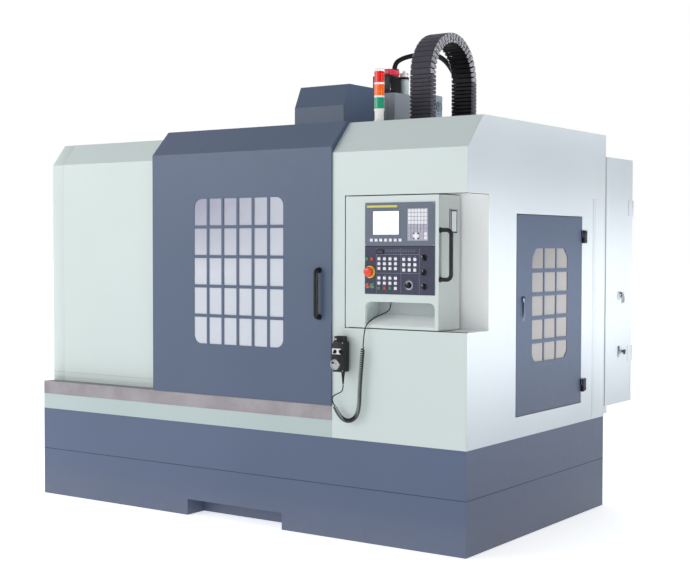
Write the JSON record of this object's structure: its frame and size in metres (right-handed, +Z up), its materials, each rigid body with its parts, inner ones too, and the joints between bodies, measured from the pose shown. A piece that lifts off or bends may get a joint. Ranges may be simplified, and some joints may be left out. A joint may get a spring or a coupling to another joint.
{
  "type": "cnc machining center",
  "caption": "Enclosed vertical machining centre with a sliding windowed door, swivelling operator box, hand pendant, signal tower, cable carrier and rear cabinet.",
  "frame": {"origin": "on the floor under the middle of the machine's overall box", "axes": "+Z up, +X to the operator's right, -Y towards the operator"},
  "size_m": [2.8283, 2.0115, 2.6765],
  "materials": {
    "blue_paint": "satin powder coat",
    "pale_paint": "satin powder coat",
    "cast_paint": "semi-gloss machine paint",
    "rail_steel": "brushed",
    "machined_iron": "ground",
    "ground_steel": "ground",
    "pan_steel": "pickled",
    "window_glass": "polycarbonate behind the cut-outs",
    "black_plastic": "moulded",
    "display_grey": "satin",
    "panel_grey": "satin",
    "white_keys": "moulded",
    "red_plastic": "moulded",
    "green_plastic": "moulded",
    "lamp_plastic": "tinted, clear",
    "ring_plastic": "moulded",
    "motor_black": "semi-gloss",
    "carrier_nylon": "moulded",
    "hose_rubber": "smooth",
    "cord_jacket": "smooth jacket",
    "chrome_trim": "polished"
  },
  "bodies": {
    "frame": {"base_lower": "blue_paint", "base_upper": "blue_paint", "bed": "cast_paint", "levelling_feet": "ground_steel", "column": "cast_paint", "chip_pan": "pan_steel", "front_apron": "blue_paint", "door_rail": "rail_steel", "left_panel": "pale_paint", "left_end_panel": "pale_paint", "rear_panel": "pale_paint", "right_front_panel": "pale_paint", "panel_recess": "pale_paint", "right_end_panel": "pale_paint", "roof_panel": "pale_paint", "side_hinges": "black_plastic", "z_servo_motor": "motor_black", "booster_cylinder": "cast_paint", "cable_bundle": "hose_rubber", "carrier_rear_leg": "carrier_nylon", "control_cabinet": "pale_paint", "signal_mast": "ring_plastic", "signal_lamps": "lamp_plastic", "pendant": "black_plastic", "cord_lead": "cord_jacket", "cord_curl": "cord_jacket", "cord_tail": "cord_jacket"},
    "carrier_bend": {"carrier_crown": "carrier_nylon"},
    "head": {"spindle_head": "cast_paint", "head_cover": "blue_paint", "spindle_motor": "motor_black", "carrier_front_leg": "carrier_nylon"},
    "spindle": {"spindle": "ground_steel"},
    "magazine": {"magazine_carriage": "cast_paint"},
    "drum": {"tool_drum": "ground_steel"},
    "saddle": {"saddle": "machined_iron"},
    "table": {"table": "machined_iron"},
    "door": {"main_door": "blue_paint", "door_window": "window_glass", "door_handle": "black_plastic"},
    "access_door": {"side_door": "blue_paint", "side_window": "window_glass"},
    "access_latch": {"side_latch": "black_plastic"},
    "station": {"operator_box": "pale_paint", "display_unit": "display_grey", "operator_panel": "panel_grey", "keypads": "white_keys", "box_handle": "black_plastic"},
    "estop": {"estop_button": "red_plastic"},
    "start": {"start_button": "green_plastic"},
    "stop": {"stop_button": "red_plastic"},
    "override": {"override_knob": "black_plastic"},
    "mode": {"mode_knob": "black_plastic"},
    "rapid": {"rapid_knob": "black_plastic"},
    "speed": {"speed_knob": "black_plastic"},
    "wheel": {"handwheel": "chrome_trim"},
    "selector": {"axis_selector": "black_plastic"},
    "isolator": {"main_switch": "black_plastic"},
    "lock": {"cabinet_lock": "chrome_trim"},
    "cabinet_leaf": {"cabinet_door": "pale_paint"}
  },
  "joints": [
    {"name": "main_door_slide", "type": "slide", "parent": "frame", "child": "door", "axis": [-1, 0, 0], "range_m": [0, 0.85]},
    {"name": "side_door_swing", "type": "hinge", "parent": "frame", "child": "access_door", "pos_m": [1.408, 0.31, 1.094], "axis": [0, 0, 1], "range_deg": [0, 110]},
    {"name": "side_latch_turn", "type": "hinge", "parent": "access_door", "child": "access_latch", "pos_m": [1.4063, -0.373, 1.17], "axis": [1, 0, 0], "range_deg": [0, 90]},
    {"name": "station_swivel", "type": "hinge", "parent": "frame", "child": "station", "pos_m": [0.734, -0.916, 1.355], "axis": [0, 0, -1], "range_deg": [0, 60], "deforming": ["cord_tail", "cord_curl"]},
    {"name": "estop_press", "type": "slide", "parent": "station", "child": "estop", "axis": [0, 1, 0], "range_m": [0, 0.006]},
    {"name": "start_press", "type": "slide", "parent": "station", "child": "start", "axis": [0, 1, 0], "range_m": [0, 0.003], "stiffness_N_per_m": 500, "springref_m": -0.002},
    {"name": "stop_press", "type": "slide", "parent": "station", "child": "stop", "axis": [0, 1, 0], "range_m": [0, 0.003], "stiffness_N_per_m": 500, "springref_m": -0.002},
    {"name": "override_turn", "type": "hinge", "parent": "station", "child": "override", "pos_m": [1.089, -0.937, 1.248], "axis": [0, -1, 0], "range_deg": [-135, 135]},
    {"name": "mode_turn", "type": "hinge", "parent": "station", "child": "mode", "pos_m": [1.172, -0.937, 1.378], "axis": [0, -1, 0], "range_deg": [-120, 120]},
    {"name": "rapid_turn", "type": "hinge", "parent": "station", "child": "rapid", "pos_m": [1.169, -0.937, 1.31], "axis": [0, -1, 0], "range_deg": [-120, 120]},
    {"name": "speed_turn", "type": "hinge", "parent": "station", "child": "speed", "pos_m": [1.172, -0.937, 1.243], "axis": [0, -1, 0], "range_deg": [-120, 120]},
    {"name": "y_axis", "type": "slide", "parent": "frame", "child": "saddle", "axis": [0, 1, 0], "range_m": [-0.225, 0.225]},
    {"name": "x_axis", "type": "slide", "parent": "saddle", "child": "table", "axis": [1, 0, 0], "range_m": [-0.4, 0.4]},
    {"name": "z_axis", "type": "slide", "parent": "frame", "child": "head", "axis": [0, 0, 1], "range_m": [-0.5, 0], "deforming": ["carrier_front_leg", "carrier_rear_leg"]},
    {"name": "carrier_follow", "type": "slide", "parent": "frame", "child": "carrier_bend", "axis": [0, 0, 1], "range_m": [-0.25, 0]},
    {"name": "spindle_turn", "type": "hinge", "parent": "head", "child": "spindle", "pos_m": [0.056, -0.105, 1.6], "axis": [0, 0, 1], "continuous": true},
    {"name": "magazine_slide", "type": "slide", "parent": "frame", "child": "magazine", "axis": [1, 0, 0], "range_m": [0, 0.226]},
    {"name": "drum_turn", "type": "hinge", "parent": "magazine", "child": "drum", "pos_m": [-0.38, -0.105, 1.51], "axis": [0, 0, 1], "continuous": true},
    {"name": "handwheel_turn", "type": "hinge", "parent": "frame", "child": "wheel", "pos_m": [0.713, -0.995, 0.861], "axis": [0, -1, 0], "continuous": true},
    {"name": "axis_select", "type": "hinge", "parent": "frame", "child": "selector", "pos_m": [0.706, -0.995, 0.923], "axis": [0, -1, 0], "range_deg": [-60, 60]},
    {"name": "isolator_turn", "type": "hinge", "parent": "frame", "child": "isolator", "pos_m": [1.41, 0.809, 1.156], "axis": [1, 0, 0], "range_deg": [0, 90]},
    {"name": "lock_turn", "type": "hinge", "parent": "frame", "child": "lock", "pos_m": [1.404, 0.809, 0.838], "axis": [1, 0, 0], "range_deg": [0, 90]},
    {"name": "cabinet_door_swing", "type": "hinge", "parent": "frame", "child": "cabinet_leaf", "pos_m": [1.398, 0.995, 1.2355], "axis": [0, 0, -1], "range_deg": [0, 110]}
  ],
  "couplings": [
    {"joint": "carrier_follow", "follows": "z_axis", "ratio": 0.5}
  ]
}
